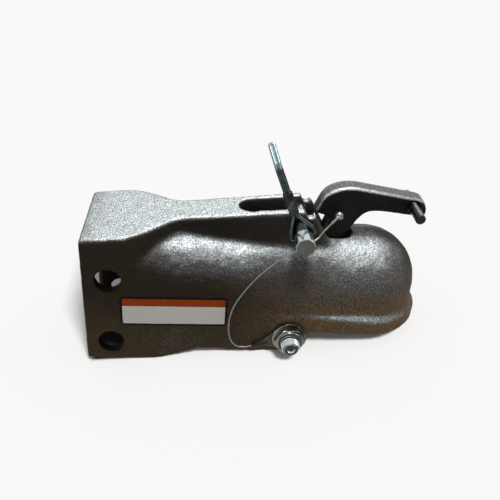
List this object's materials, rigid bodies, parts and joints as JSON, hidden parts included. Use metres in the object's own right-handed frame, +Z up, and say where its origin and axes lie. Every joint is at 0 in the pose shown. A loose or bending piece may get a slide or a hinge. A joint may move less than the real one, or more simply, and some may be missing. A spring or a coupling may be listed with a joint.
{
  "type": "trailer coupling head",
  "caption": "Cast trailer coupling head with a ball socket, a swinging lever latch, a safety pin with wire bail and lanyard, and a box end that bolts into a height channel.",
  "frame": {"origin": "centre of the ball socket", "axes": "+X along the head toward its nose, +Z up out of the slotted spine, -Y toward the side with the pivot nut and the lanyard"},
  "size_m": [0.2379, 0.1045, 0.1588],
  "materials": {
    "casting": "rough cast, silver-grey paint",
    "latch_casting": "charcoal cast",
    "zinc": "bright zinc plate",
    "black_steel": "gloss black",
    "wire": "stranded steel",
    "bronze": "sintered"
  },
  "bodies": {
    "housing": {"housing": "casting", "pivot_bolt": "zinc", "pivot_nut": "zinc", "pivot_washer_near": "zinc", "pivot_washer_far": "zinc", "pivot_spacer_near": "zinc", "pivot_spacer_far": "zinc", "lanyard_tab": "zinc", "lanyard_crimp": "black_steel", "lanyard_cable": "wire"},
    "latch": {"latch": "latch_casting", "latch_bush": "bronze", "latch_cross_pin": "black_steel"},
    "safety_pin": {"safety_pin": "zinc", "lanyard_end": "wire", "lanyard_ball": "zinc"},
    "bail": {"bail_wire": "zinc", "bail_sleeve": "zinc"}
  },
  "joints": [
    {"name": "latch_swing", "type": "hinge", "parent": "housing", "child": "latch", "pos_m": [-0.0562, 0, -0.0273], "axis": [0, -1, 0], "range_deg": [0, 32]},
    {"name": "pin_pull", "type": "slide", "parent": "housing", "child": "safety_pin", "axis": [0, -1, 0], "range_m": [0, 0.1], "deforming": ["lanyard_cable"]},
    {"name": "bail_flip", "type": "hinge", "parent": "safety_pin", "child": "bail", "pos_m": [-0.0519, -0.0285, 0.0467], "axis": [0.9272, 0, 0.3746], "range_deg": [-40, 50]}
  ],
  "couplings": [
    {"joint": "pin_pull", "follows": "latch_swing", "m_per_rad": 0.179}
  ]
}
